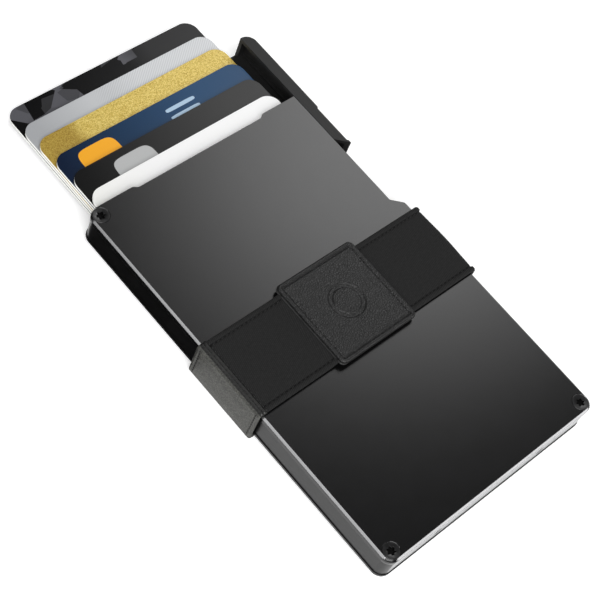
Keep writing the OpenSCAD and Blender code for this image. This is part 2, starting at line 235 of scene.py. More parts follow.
def grained(name, dark, light, roughness, grain, depth, patch=4.0, **sockets):
    """Metal or plastic with a fine grain: two close colours, uneven gloss and a bump of the grain."""
    material, tree, shader, coords = new_material(name, roughness, **sockets)
    fine = add(tree, "TexNoise", {
        "Vector": coords, "Scale": 1 / grain, "Detail": 3.0, "Roughness": 0.6})
    broad = add(tree, "TexNoise", {
        "Vector": coords, "Scale": 1 / (patch * MM), "Detail": 2.0})
    blend = add(tree, "Math", {0: fine, 1: 0.5, 2: broad}, operation="MULTIPLY_ADD")
    shade = add(tree, "MapRange", {"Value": blend, "From Min": 0.45, "From Max": 1.05})
    tint = add(tree, "Mix", {"Factor": shade, "A": dark, "B": light}, data_type="RGBA")
    dress(tree, shader, tint, fine, depth, grain * 0.25)
    gloss = add(tree, "MapRange", {
        "Value": broad, "From Min": 0.3, "From Max": 0.7,
        "To Min": roughness * 0.98, "To Max": roughness * 1.02})
    join(tree, gloss, shader.inputs["Roughness"])
    return material


# ---- plates, frame and screws ----

# A bevel's face leans between these two sizes of its normal's Z
BEVEL_LEAN = (0.5, 0.9)
# Product of a normal's X and Y over which a bevel belongs to a rounded corner, where it keeps the black
# anodising as a painted dark reflection
CORNER_TURN = 0.12
# Y of a normal under which a face is part of the bottom end, which takes bright metal as painted light from
# the lamp in front
FACES_DOWN = -0.97
# How near a plate's outline a face has its middle when it belongs to the rim
RIM_WIDTH = 2 * MM


class PlateSettings(PropertyGroup):
    plate_dark: colour("Plate, dark", "Darker tone of the black anodising on the plates", "090909")
    plate_light: colour("Plate, light", "Lighter tone of the black anodising on the plates", "0b0b0c")
    plate_roughness: factor("Plate roughness", "Roughness of the satin anodised plates", 0.21)
    # Lighter anodising on the softened edges: a painted edge highlight
    edge_highlight: colour("Edge highlight", "Anodising along the edges, painted lighter as a highlight", "1c1c1d")
    bevel_dark: colour("Bevel, dark", "Darker tone of the polished bevel", "8e8e8f")
    bevel_light: colour("Bevel, light", "Lighter tone of the polished bevel", "9a9a9b")
    frame_dark: colour("Frame, dark", "Darker tone of the frame", "050505")
    frame_light: colour("Frame, light", "Lighter tone of the frame", "09090a")
    frame_roughness: factor("Frame roughness", "Roughness of the frame", 0.3)
    edge: length("Edge", "Radius that the plates' edges are softened by", 0.05)
    grain: length("Blast grain", "Grain of the bead-blasted face under the anodising", 0.18)


class ScrewSettings(PropertyGroup):
    oxide_dark: colour("Oxide, dark", "Darker tone of the black oxide on the screws", "0c0c0c")
    oxide_light: colour("Oxide, light", "Lighter tone of the black oxide on the screws", "202021")
    # Near black in the sockets: painted shade of the recess
    socket: colour("Socket", "Painted shade inside the sockets", "020202")
    socket_share: factor("Socket size", "Radius of the six-lobe socket as a share of the head's radius", 0.44)
    lobe_share: factor("Lobes", "How far the lobes stand out, as a share of the socket's radius", 0.2)
    socket_depth: factor("Socket depth", "Depth of the socket as a share of the head's height", 0.62)
    dish: length("Dish", "How far the top of a head sinks towards its socket", 0.12)
    chamfer: length("Chamfer", "Chamfer round the top of a head", 0.12)


class WALLET_OT_plates(Operator):
    """Black anodised front and rear plates with softened edges, painted a little lighter as a highlight"""

    bl_idname = "wallet.plates"
    bl_label = "Plates"

    def execute(self, context):
        s = context.scene.wallet_plates
        # Anodised aluminium, bead-blasted and dyed black: an even satin sheen that spreads a light softly
        satin = grained("black_anodised_aluminium", s.plate_dark, s.plate_light, s.plate_roughness, s.grain,
                        0.012)
        # The same skin along the softened edges: painted a shade lighter as an edge highlight, and a little
        # glossier
        edge_highlight = grained("anodised_edge_painted_highlight", s.plate_light, s.edge_highlight, s.plate_roughness * 0.9, s.grain,
                         0.02)
        # Bevel cut after blasting and polished before it was dyed: a thin bright line round each plate. The
        # same bright metal on the plates' bottom end faces is painted light from the lamp in front, and the
        # rounded corners' bevels stay black as a painted dark reflection
        polished = grained("polished_bevel_and_painted_lit_end", s.bevel_dark, s.bevel_light, 0.24, s.grain, 0.01,
                           Metallic=1.0)
        for node in ("front_plate", "rear_plate"):
            bm = merged_copy(node)
            bm.normal_update()
            low, high, middle = size_of(node)
            for face in bm.faces:
                normal, away = face.normal, face.calc_center_median() - middle
                # Corner bevels keep the black as a painted dark reflection; bottom end faces take the bright
                # metal as painted light
                straight = abs(normal.x * normal.y) < CORNER_TURN
                slant = straight and BEVEL_LEAN[0] < abs(normal.z) < BEVEL_LEAN[1] or normal.y < FACES_DOWN
                past_outline = max(abs(away.x) - (high.x - low.x) / 2, abs(away.y) - (high.y - low.y) / 2)
                face.material_index = 2 if slant and past_outline > -RIM_WIDTH else 0
            plate = make_object(node + "_anodised", mesh_from(bm), [satin, edge_highlight, polished], "wallet",
                                [node])
            # The softened edges take the painted highlight
            soften_edges(plate, s.edge, material=1)
        return {"FINISHED"}


class WALLET_OT_frame(Operator):
    """Black anodised frame and end plate"""

    bl_idname = "wallet.frame"
    bl_label = "Frame"

    def execute(self, context):
        s = context.scene.wallet_plates
        # Machined aluminium, black anodised without blasting: deeper black, with a faint cutter grain
        black = grained("machined_black_anodised", s.frame_dark, s.frame_light, s.frame_roughness, s.grain,
                        0.03, Specular_IOR_Level=0.4)
        # Bright brushed metal on the faces that look out of the bottom end, on the frame and the end plate:
        # painted light from the lamp in front, where the rest stays black
        lit_bottom_metal = grained("bottom_end_painted_light", s.bevel_dark, s.bevel_light, 0.32, s.grain, 0.03, Metallic=1.0)
        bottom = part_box("frame")[0].y + 1 * MM
        for node in ("frame", "end_plate"):
            bm = merged_copy(node)
            bm.normal_update()
            for face in bm.faces:
                # Faces looking out of the bottom end take the painted light
                at_bottom = face.calc_center_median().y < bottom
                face.material_index = 1 if face.normal.y < FACES_DOWN and at_bottom else 0
            piece = make_object(node + "_machined", mesh_from(bm), [black, lit_bottom_metal], "wallet", [node])
            soften_edges(piece, s.edge * 0.8)
        return {"FINISHED"}


class WALLET_OT_screws(Operator):
    """Countersunk screws with a six-lobe socket, dished head and chamfered rim"""

    bl_idname = "wallet.screws"
    bl_label = "Screws"

    def head(self, s, bm, place, head_r, head_h, shank_r, total, turn):
        """One screw with its head's top at z = 0, then moved by the place matrix."""
        socket_r = head_r * s.socket_share
        socket_d = head_h * s.socket_depth
        start = len(bm.verts)

        def lobed(co):
            a = math.atan2(co.y, co.x) + turn
            r = socket_r * (1 + s.lobe_share * math.cos(6 * a))
            return Vector((r * math.cos(a - turn), r * math.sin(a - turn), -s.dish))

        def ring(radius, z):
            return lambda co: Vector((co.x, co.y, 0)).normalized() * radius + Vector((0, 0, z))

        def narrowed(share, z):
            return lambda co: Vector((co.x * share, co.y * share, z))

        bmesh.ops.create_circle(bm, cap_ends=False, segments=60, radius=socket_r)
        bm.verts.ensure_lookup_table()
        verts = list(bm.verts)[start:]
        mouth = list({e for v in verts for e in v.link_edges})
        for v in verts:
            v.co = lobed(v.co)
        flat = next_ring(bm, mouth, ring(head_r * 0.6, -s.dish * 0.8))
        rim = next_ring(bm, flat, ring(head_r - s.chamfer, 0))
        rim = next_ring(bm, rim, ring(head_r, -s.chamfer * 0.8))
        rim = next_ring(bm, rim, ring(shank_r, -head_h))
        rim = next_ring(bm, rim, ring(shank_r, -total))
        close_ring(bm, rim)
        outside = len(bm.faces)
        wall = next_ring(bm, mouth, narrowed(0.94, -socket_d))
        floor = next_ring(bm, wall, narrowed(0.3, -socket_d * 1.1))
        close_ring(bm, floor)
        # The socket's faces take the painted shade
        for face in list(bm.faces)[outside:]:
            face.material_index = 1
        bm.verts.ensure_lookup_table()
        bmesh.ops.transform(bm, matrix=place, verts=list(bm.verts)[start:])

    def execute(self, context):
        s = context.scene.wallet_screws
        # Steel screws in black oxide: dark and slightly glossy, with a warm unevenness
        oxide = grained("black_oxide_steel", s.oxide_dark, s.oxide_light, 0.28, 0.15 * MM, 0.1, patch=0.8)
        # Near black inside the socket: painted shade of the recess, with little shine
        socket = grained("socket_painted_shade", s.socket, s.socket, 0.6, 0.15 * MM, 0.1,
                         Specular_IOR_Level=0.1)
        down = Matrix.Rotation(math.pi, 4, "X")
        out_end = Matrix.Rotation(math.pi / 2, 4, "X")
        # name, head radius, head height and shank radius in mm, and the way that the head faces
        kinds = [
            ("front_screws", 1.95, 1.0, 0.95, Matrix.Identity(4)),
            ("rear_screws", 1.8, 0.8, 0.95, down),
            ("end_screws", 1.0, 0.45, 0.55, out_end),
        ]
        for node, head_r, head_h, shank_r, facing in kinds:
            head_r, head_h, shank_r = head_r * MM, head_h * MM, shank_r * MM
            low, high, middle = size_of(node)
            if node == "end_screws":
                top = Vector((0, low.y, middle.z))
                total = high.y - low.y
                spots = [Vector((x, 0, 0)) for x in (low.x + head_r, high.x - head_r)]
            else:
                top = Vector((0, 0, high.z if node == "front_screws" else low.z))
                total = high.z - low.z
                left, right = low.x + head_r, high.x - head_r
                spots = [
                    Vector((left, high.y - head_r, 0)),
                    Vector((left, low.y + head_r, 0)),
                    Vector((right, low.y + head_r, 0)),
                ]
            bm = bmesh.new()
            for number, spot in enumerate(spots):
                place = Matrix.Translation(top + spot) @ facing
                self.head(s, bm, place, head_r, head_h, shank_r, total, 0.35 + 0.5 * number)
            bmesh.ops.recalc_face_normals(bm, faces=bm.faces)
            screws = make_object(node + "_socket", mesh_from(bm), [oxide, socket], "wallet", [node])
            soften_edges(screws, 0.03 * MM)
        return {"FINISHED"}


# ---- slide and lever ----


class SlideSettings(PropertyGroup):
    cap_dark: colour("Cap, dark", "Darker tone of the slide cap", "0e0e0e")
    cap_light: colour("Cap, light", "Lighter tone of the slide cap", "191919")
    cap_roughness: factor("Cap roughness", "Roughness of the matt slide cap", 0.55)
    rail: colour("Rail", "Black oxide of the guide rail", "050505")
    steel_dark: colour("Steel, dark", "Darker tone of the bare steel inside", "6e6f72")
    steel_light: colour("Steel, light", "Lighter tone of the bare steel inside", "9b9ca0")
    edge: length("Edge", "Radius that the cap's edges are softened by", 0.08)


class WALLET_OT_slide(Operator):
    """Slide cap and the guide rail"""

    bl_idname = "wallet.slide"
    bl_label = "Slide"

    def execute(self, context):
        s = context.scene.wallet_slide
        # Black anodised aluminium with a heavy blast: matt, an even dark grey under soft light
        matt = grained("matt_black_anodised", s.cap_dark, s.cap_light, s.cap_roughness, 0.22 * MM, 0.12)
        cap = make_object("slide_cap_matt", mesh_from(merged_copy("slide_cap")), [matt], "slide",
                          ["slide_cap"])
        soften_edges(cap, s.edge)
        # Steel rail in black oxide: nearly black, half matt
        oxide = grained("black_oxide_rail", s.rail, s.cap_dark, 0.4, 0.2 * MM, 0.06)
        rail = make_object("guide_rail_oxide", mesh_from(merged_copy("guide_rail")), [oxide], "wallet",
                           ["guide_rail"])
        soften_edges(rail, s.edge * 0.6)
        return {"FINISHED"}


class WALLET_OT_fan_lever(Operator):
    """Bare steel of the fan lever, its pins and the card spring"""

    bl_idname = "wallet.fan_lever"
    bl_label = "Fan lever"

    def execute(self, context):
        s = context.scene.wallet_slide
        # Blanked spring steel, tumbled: bright, with fine directionless scratches
        steel = grained("tumbled_spring_steel", s.steel_dark, s.steel_light, 0.3, 0.12 * MM, 0.08,
                        Metallic=1.0)
        # Turned steel pins: a little darker and smoother
        turned = grained("turned_steel", s.steel_dark, s.steel_light, 0.22, 0.2 * MM, 0.03, Metallic=1.0)
        flats = ["fan_finger_%d" % i for i in range(1, 7)] + ["slide_arm", "card_spring"]
        pins = ["lever_rivets", "slide_rivets", "pivot_pin", "drive_pin", "rail_dowels"]
        for names, material in ((flats, steel), (pins, turned)):
            for node in names:
                NODES[node].data.materials.clear()
                NODES[node].data.materials.append(material)
        return {"FINISHED"}


# ---- cards ----


class CardSettings(PropertyGroup):
    core: colour("Core", "White plastic seen at the cards' edges", "eeeeea")
    film: length("Film", "Thickness of the printed film on a card's faces", 0.1)
    edge: length("Edge", "Radius that a card's edges are softened by", 0.04)
    facet_dark: colour("Facets, dark", "Ground of the first card", "020203")
    facet_mid: colour("Facets, middle", "Middle facets of the first card", "262627")
    facet_light: colour("Facets, light", "Lightest facets of the first card", "55555a")
    silver_dark: colour("Silver, dark", "Darker tone of the second card", "a6a8ab")
    silver_light: colour("Silver, light", "Lighter tone of the second card", "d2d4d6")
    gold_dark: colour("Gold, dark", "Darkest flakes of the third card", "ab8c2c")
    gold_mid: colour("Gold, middle", "Middle tone of the third card", "c9ad4c")
    gold_light: colour("Gold, light", "Brightest flakes of the third card", "e6d07a")
    navy: colour("Navy", "Dark end of the fourth card", "001530")
    blue: colour("Blue", "Light end of the fourth card", "0c3f66")
    accent: colour("Accent", "Rounded square on the fourth card", "f0a827")
    mark: colour("Mark", "Bars on the fourth card", "a9c3da")
    coal_dark: colour("Charcoal, dark", "Dark end of the fifth card", "020202")
    coal_light: colour("Charcoal, light", "Light end of the fifth card", "2b2b2b")
    grey_patch: colour("Grey patch", "Rounded square on the fifth card", "b2b3b3")
    white: colour("White", "Sixth card", "f1f1f1")
    stripe: colour("Stripe", "Magnetic stripe on a card's back", "16130f")
    stripe_x: length("Stripe place", "Middle of the magnetic stripe, from the card's middle", 16.5)
    stripe_w: length("Stripe width", "Width of the magnetic stripe", 12.7)


class WALLET_OT_cards(Operator):
    """Six plastic cards, each with its own printed face, white core and striped back"""

    bl_idname = "wallet.cards"
    bl_label = "Cards"

    def ramp_across(self, tree, coords, low, high, dark, light, grain=0.0):
        """Colour that runs from dark to light across the card between two X positions."""
        axes = add(tree, "SeparateXYZ", {0: coords})
        noise = add(tree, "TexNoise", {
            "Vector": coords, "Scale": 1 / (0.35 * MM), "Detail": 2.0})
        shift = add(tree, "Math", {
            0: noise, 1: grain, 2: axes.outputs["X"]}, operation="MULTIPLY_ADD")
        place = add(tree, "MapRange", {
            "Value": shift, "From Min": low + grain / 2, "From Max": high + grain / 2})
        return add(tree, "Mix", {"Factor": place, "A": dark, "B": light}, data_type="RGBA")

    def rounded_square(self, tree, coords, centre, half_x, half_y):
        """Mask, 1 inside a square with rounded corners."""
        powers = []
        for axis, middle, half in (("X", centre[0], half_x), ("Y", centre[1], half_y)):
            away = distance_from(tree, coords, axis, middle)
            share = add(tree, "Math", {0: away, 1: half}, operation="DIVIDE")
            powers.append(add(tree, "Math", {0: share, 1: 5.0}, operation="POWER"))
        total = add(tree, "Math", {0: powers[0], 1: powers[1]}, operation="ADD")
        return add(tree, "Math", {0: total, 1: 1.0}, operation="LESS_THAN")

    def facets(self, s):
        # Polished black film with printed facets in greys
        material, tree, shader, coords = new_material("faceted_black_film", 0.24, Specular_IOR_Level=0.2)
        greys = []
        for scale, turn in ((5.2, 0.4), (7.1, 1.3)):
            placed = add(tree, "Mapping", {
                "Vector": coords, "Location": (4 * MM, 3 * MM, 0), "Rotation": (0, 0, turn),
                "Scale": (1, 1.7, 0)})
            cells = add(tree, "TexVoronoi", {
                "Vector": placed, "Scale": 1 / (scale * MM)}, voronoi_dimensions="2D")
            greys.append(add(tree, "SeparateColor", {"Color": cells.outputs["Color"]}))
        both = add(tree, "Math", {0: greys[0], 1: greys[1]}, operation="MULTIPLY")
        shards = ramp_stops(add(tree, "ValToRGB", {"Fac": both}), [
            (0.2, s.facet_dark), (0.22, s.facet_mid), (0.5, s.facet_light)])
        axes = add(tree, "SeparateXYZ", {0: coords})
        reach = add(tree, "MapRange", {
            "Value": axes.outputs["X"], "From Min": 5 * MM, "From Max": 12 * MM})
        tint = add(tree, "Mix", {"Factor": reach, "A": shards, "B": s.facet_mid}, data_type="RGBA")
        join(tree, tint, shader.inputs["Base Color"])
        return material

    def silver(self, s):
        # Silver-grey print with a fine hatch of dots, satin laminate
        material, tree, shader, coords = new_material("hatched_silver_film", 0.36, Metallic=0.15)
        ground = self.ramp_across(tree, coords, -24 * MM, 4 * MM, s.silver_dark, s.silver_light, 2 * MM)
        turned = add(tree, "Mapping", {"Vector": coords, "Rotation": (0, 0, 0.9)})
        # Hatch lines every 0.5 mm, coarser than print so that they show
        lines = add(tree, "TexWave", {
            "Vector": turned, "Scale": WAVE_PITCH / (0.5 * MM)}, wave_type="BANDS")
        axes = add(tree, "SeparateXYZ", {0: coords})
        side = add(tree, "MapRange", {
            "Value": axes.outputs["X"], "From Min": -9 * MM, "From Max": -5 * MM, "To Max": 0.22})
        strength = add(tree, "Math", {0: lines, 1: side}, operation="MULTIPLY")
        tint = add(tree, "Mix", {"Factor": strength, "A": ground, "B": s.facet_light}, data_type="RGBA")
        join(tree, tint, shader.inputs["Base Color"])
        return material

    def gold(self, s):
        # Gold print with metal flakes under a clear film: glitters, darker towards one side
        material, tree, shader, coords = new_material("gold_flake_film", 0.38, Metallic=0.2)
        flakes = add(tree, "TexVoronoi", {"Vector": coords, "Scale": 1 / (0.19 * MM)})
        grey = add(tree, "SeparateColor", {"Color": flakes.outputs["Color"]})
        tones = ramp_stops(add(tree, "ValToRGB", {"Fac": grey}), [
            (0.0, s.gold_dark), (0.35, s.gold_mid), (1.0, s.gold_light)])
        shade = self.ramp_across(tree, coords, -19 * MM, -16 * MM, (0.62, 0.55, 0.3, 1), (1, 1, 1, 1), 1 * MM)
        toned = add(tree, "Mix", {
            "Factor": 1.0, "A": tones, "B": shade}, data_type="RGBA", blend_type="MULTIPLY")
        dress(tree, shader, toned, grey, 0.15, 0.02 * MM)
        return material

    def navy(self, s):
        # Navy print fading to blue with a fine grain, and two plain marks
        material, tree, shader, coords = new_material("navy_film", 0.24, Specular_IOR_Level=0.2)
        ground = self.ramp_across(tree, coords, -26 * MM, 12 * MM, s.navy, s.blue, 6 * MM)
        square = self.rounded_square(tree, coords, (-17.5 * MM, 58.8 * MM), 5.2 * MM, 5.4 * MM)
        inked = add(tree, "Mix", {"Factor": square, "A": ground, "B": s.accent}, data_type="RGBA")
        for bar_y in (62.6 * MM, 60.4 * MM):
            bar = self.rounded_square(tree, coords, (6.5 * MM, bar_y), 4.2 * MM, 0.5 * MM)
            inked = add(tree, "Mix", {"Factor": bar, "A": inked, "B": s.mark}, data_type="RGBA")
        join(tree, inked, shader.inputs["Base Color"])
        return material

    def charcoal(self, s):
        # Charcoal print, matt laminate, with one plain grey patch; its lightening across the card from dark
        # to light is a painted reflection
        material, tree, shader, coords = new_material("charcoal_film", 0.26, Specular_IOR_Level=0.2)
        ground = self.ramp_across(tree, coords, -24 * MM, 16 * MM, s.coal_dark, s.coal_light, 1 * MM)
        square = self.rounded_square(tree, coords, (-12.5 * MM, 52.6 * MM), 5.4 * MM, 5.2 * MM)
        tint = add(tree, "Mix", {"Factor": square, "A": ground, "B": s.grey_patch}, data_type="RGBA")
        join(tree, tint, shader.inputs["Base Color"])
        return material

    def plain_white(self, s):
        # Bare white PVC, half gloss
        material, tree, shader, coords = new_material("white_pvc", 0.3)
        join(tree, self.ramp_across(tree, coords, -28 * MM, -10 * MM, s.core, s.white, 4 * MM),
             shader.inputs["Base Color"])
        return material

    def edge(self, s, number, film):
        """White core between two thin printed films."""
        low, high, middle = size_of("card_%d" % number)
        # Cut edge of laminated PVC: a white core with a thin coloured line along each face
        material, tree, shader, coords = new_material("card_%d_cut_edge" % number, 0.45)
        line = add(tree, "Math", {
            0: distance_from(tree, coords, "Z", middle.z), 1: (high.z - low.z) / 2 - s.film,
        }, operation="GREATER_THAN")
        tint = add(tree, "Mix", {"Factor": line, "A": s.core, "B": film}, data_type="RGBA")
        join(tree, tint, shader.inputs["Base Color"])
        return material

    def back(self, s, number, film):
        """Plain back in the card's colour with a magnetic stripe along it."""
        # Printed PVC back, half matt, with a dull brown-black stripe
        material, tree, shader, coords = new_material("card_%d_back" % number, 0.4)
        ground = self.ramp_across(tree, coords, -30 * MM, 30 * MM, film, film, 1 * MM)
        band = add(tree, "Math", {
            0: distance_from(tree, coords, "X", s.stripe_x), 1: s.stripe_w / 2}, operation="LESS_THAN")
        tint = add(tree, "Mix", {"Factor": band, "A": ground, "B": s.stripe}, data_type="RGBA")
        join(tree, tint, shader.inputs["Base Color"])
        return material

    def execute(self, context):
        s = context.scene.wallet_cards
        kinds = [
            (self.facets(s), s.facet_dark), (self.silver(s), s.silver_dark), (self.gold(s), s.gold_mid),
            (self.navy(s), s.navy), (self.charcoal(s), s.coal_dark), (self.plain_white(s), s.white),
        ]
        for number, (face_print, film) in enumerate(kinds, 1):
            node = "card_%d" % number
            bm = merged_copy(node)
            for face in bm.faces:
                face.material_index = 0 if face.normal.z > 0.5 else 2 if face.normal.z < -0.5 else 1
            materials = [face_print, self.edge(s, number, film), self.back(s, number, film)]
            card = make_object(node + "_laminate", mesh_from(bm), materials, node, [node])
            soften_edges(card, s.edge)
        return {"FINISHED"}


# ---- band ----


class BandSettings(PropertyGroup):
    thickness: length("Thickness", "Thickness of the elastic", 0.9)
    hem: length("Hem", "Distance of the sewn line from the band's edge", 1.35)
    groove: length("Groove", "Depth that the sewn line sinks into the elastic", 0.32)
    rib: length("Rib", "Spacing of the slanted ribs of the weave", 0.4)
    stitch: length("Stitch", "Length of a stitch along the hems", 0.85)
    stitch_pitch: length("Stitch pitch", "Distance from one stitch to the next", 1.2)
    thread: length("Thread", "Thickness of the sewing thread", 0.3)
    weave_dark: colour("Weave, dark", "Darker tone of the elastic", "101010")
    weave_light: colour("Weave, light", "Lighter tone of the elastic", "2c2c2c")
    thread_colour: colour("Thread", "Sewing thread", "040404")
    tab_dark: colour("Side tab, dark", "Darker grain of the side tab", "242422")
    tab_light: colour("Side tab, light", "Lighter grain of the side tab", "4a4a45")
    tab_flap: length("Tab flap", "How far the side tab laps over the elastic", 2.2)
    tab_thickness: length("Tab thickness", "Thickness of the side tab", 0.55)


def thread_material(colour_value):
    # Bonded polyester thread: dark, slightly shiny, twisted
    material, tree, shader, coords = new_material("sewing_thread", 0.5)
    twist = add(tree, "TexWave", {
        "Vector": coords, "Scale": WAVE_PITCH / (0.12 * MM)}, wave_type="BANDS", bands_direction="DIAGONAL")
    light = [min(1, 2.2 * c) for c in colour_value[:3]] + [1]
    mix = add(tree, "Mix", {"Factor": twist, "A": list(colour_value), "B": light}, data_type="RGBA")
    join(tree, mix, shader.inputs["Base Color"])
    return material


def wrap_path(half_x, low_z, high_z, radius, start_x, side):
    """Function of the distance along a strap that starts on the front at start_x, folds over the
    right (side 1) or left (side -1) edge and returns along the back; gives the point and outward way."""
    flat = half_x - radius - start_x * side
    upright = high_z - low_z - 2 * radius
    quarter = math.pi * radius / 2
    total = 2 * flat + 2 * quarter + upright

    def at(t):
        if t <= flat:
            return Vector((start_x + side * t, 0, high_z)), Vector((0, 0, 1))
        t -= flat
        if t <= quarter:
            a = t / radius
            way = Vector((side * math.sin(a), 0, math.cos(a)))
            return Vector((side * (half_x - radius), 0, high_z - radius)) + way * radius, way
        t -= quarter
        if t <= upright:
            return Vector((side * half_x, 0, high_z - radius - t)), Vector((side, 0, 0))
        t -= upright
        if t <= quarter:
            a = math.pi / 2 + t / radius
            way = Vector((side * math.sin(a), 0, math.cos(a)))
            return Vector((side * (half_x - radius), 0, low_z + radius)) + way * radius, way
        t -= quarter
        return Vector((side * (half_x - radius - t), 0, low_z)), Vector((0, 0, -1))

    return at, total


def strap_mesh(at, total, y_low, y_high, along, across, relief):
    """Grid bent along a path, with a relief(distance along, distance from the nearer side) outwards."""
    bm = bmesh.new()
    uv = bm.loops.layers.uv.new("strap")
    bmesh.ops.create_grid(bm, x_segments=along, y_segments=across, size=0.5, calc_uvs=False)
    width = y_high - y_low
    flat = {}
    for v in bm.verts:
        t, y = (v.co.x + 0.5) * total, (v.co.y + 0.5) * width
        flat[v] = (t, y)
        point, way = at(t)
        v.co = point + Vector((0, y_low + y, 0)) + way * relief(t, min(y, width - y))
    for face in bm.faces:
        for loop in face.loops:
            loop[uv].uv = flat[loop.vert]
    first = next(iter(bm.faces))
    first.normal_update()
    if first.normal.dot(at(flat[first.verts[0]][0])[1]) < 0:
        bmesh.ops.reverse_faces(bm, faces=bm.faces)
    bm.normal_update()
    return bm


def stitch_on(bm, at, t, y, height, settings, lean=0.0):
    """One stitch along a strap's path, at a distance along it and a height over it."""
    point, way = at(t)
    ahead, _ = at(t + 0.05 * MM)
    along = (ahead - point).normalized() + Vector((0, lean, 0))
    add_stitch(bm, point + Vector((0, y, 0)) + way * height, along, way, settings.stitch, settings.thread)


def weave(s, width):
    """Elastic whose sewn lines run s.hem inside its two edges."""
    # Woven polyester elastic: dull, with fine slanted ribs, coloured lighter on their crests
    material, tree, shader, _ = new_material(
        "woven_elastic", 0.8, Specular_IOR_Level=0.2, Sheen_Weight=0.04, Sheen_Roughness=0.5)
    uv = add(tree, "UVMap", uv_map="strap")
    heights = []
    for turn, pitch in ((0.26, s.rib), (1.75, s.rib * 0.75)):
        turned = add(tree, "Mapping", {"Vector": uv, "Rotation": (0, 0, turn)})
        heights.append(add(tree, "TexWave", {
            "Vector": turned, "Scale": WAVE_PITCH / pitch, "Distortion": 0.8, "Detail": 1.0,
            "Detail Scale": 2.0}, wave_type="BANDS"))
    ribs = add(tree, "Math", {
        0: heights[1], 1: 0.35, 2: heights[0]}, operation="MULTIPLY_ADD")
    noise = add(tree, "TexNoise", {"Vector": uv, "Scale": 1 / (0.6 * MM), "Detail": 3.0})
    tone = add(tree, "Math", {0: ribs, 1: noise}, operation="MULTIPLY")
    mix = add(tree, "Mix", {
        "Factor": tone, "A": s.weave_dark, "B": s.weave_light}, data_type="RGBA")
    # Painted shade along the sewn line's groove, in the thread's colour, as wide as the thread sinks in
    seam = add(tree, "Math", {
        0: distance_from(tree, uv, "Y", width / 2), 1: width / 2 - s.hem, 2: 0.6 * s.thread,
    }, operation="COMPARE")
    sewn = add(tree, "Mix", {"Factor": seam, "A": mix, "B": s.thread_colour}, data_type="RGBA")
    dress(tree, shader, sewn, ribs, 0.7, 0.07 * MM)
    return material


class WALLET_OT_elastic_band(Operator):
    """Woven elastic with sewn hems, wrapped round the wallet from the side tab and back to it"""

    bl_idname = "wallet.elastic_band"
    bl_label = "Elastic band"

    def execute(self, context):
        s = context.scene.wallet_band
        low, high, _ = size_of("band_front")
        back_low, _, _ = size_of("band_back")
        right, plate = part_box("band_right_fold")[1].x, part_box("front_plate")[0].x
        patch_low, patch_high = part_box("patch_backing")
        # Start under the side tab, just inside the plate's edge
        start = plate + 0.4 * MM
        at, total = wrap_path(right, back_low.z, high.z, 1.0 * MM, start, 1)
        width = high.y - low.y
        fold_t = right - start + (high.z - back_low.z) / 2

        def relief(t, inset):
            hem = smooth_step(inset, s.hem - 0.35 * MM, s.hem)
            step = -s.groove * (smooth_step(inset, s.hem - 0.3 * MM, s.hem) - 0.55 * smooth_step(
                inset, s.hem, s.hem + 0.35 * MM))
            edge = -0.28 * MM * (1 - smooth_step(inset, 0, 0.4 * MM)) ** 1.5
            sag = 0.36 - 0.36 * smooth_step(inset, s.hem, width / 2)
            bow = -sag * MM * hem * math.exp(-((t - fold_t) / (7 * MM)) ** 2)
            x = start + t
            lift = 0.45 * MM * smooth_step(x, patch_low.x - 2.0 * MM, patch_low.x - 0.3 * MM) * (
                1 - smooth_step(x, patch_high.x - 0.4 * MM, patch_high.x + 0.8 * MM))
            return step + edge + bow + (lift if t < fold_t - 8 * MM else 0)

        bm = strap_mesh(at, total, low.y, high.y, 260, 100, relief)
        bmesh.ops.solidify(bm, geom=bm.faces[:], thickness=s.thickness)
        bmesh.ops.recalc_face_normals(bm, faces=bm.faces)
        band = make_object("elastic_band_woven", mesh_from(bm), [weave(s, width)], "band",
                           ["band_front", "band_right_fold", "band_back"])
        bm = bmesh.new()
        count = int((total - 4 * MM) / s.stitch_pitch)
        for y in (low.y + s.hem, high.y - s.hem):
            for i in range(count):
                t = 2 * MM + i * s.stitch_pitch
                stitch_on(bm, at, t, y, relief(t, s.hem) - 0.02 * MM, s, 0.12)
        thread = thread_material(s.thread_colour)
        make_object("elastic_band_stitches", mesh_from(bm), [thread], "band")
        return {"FINISHED"}


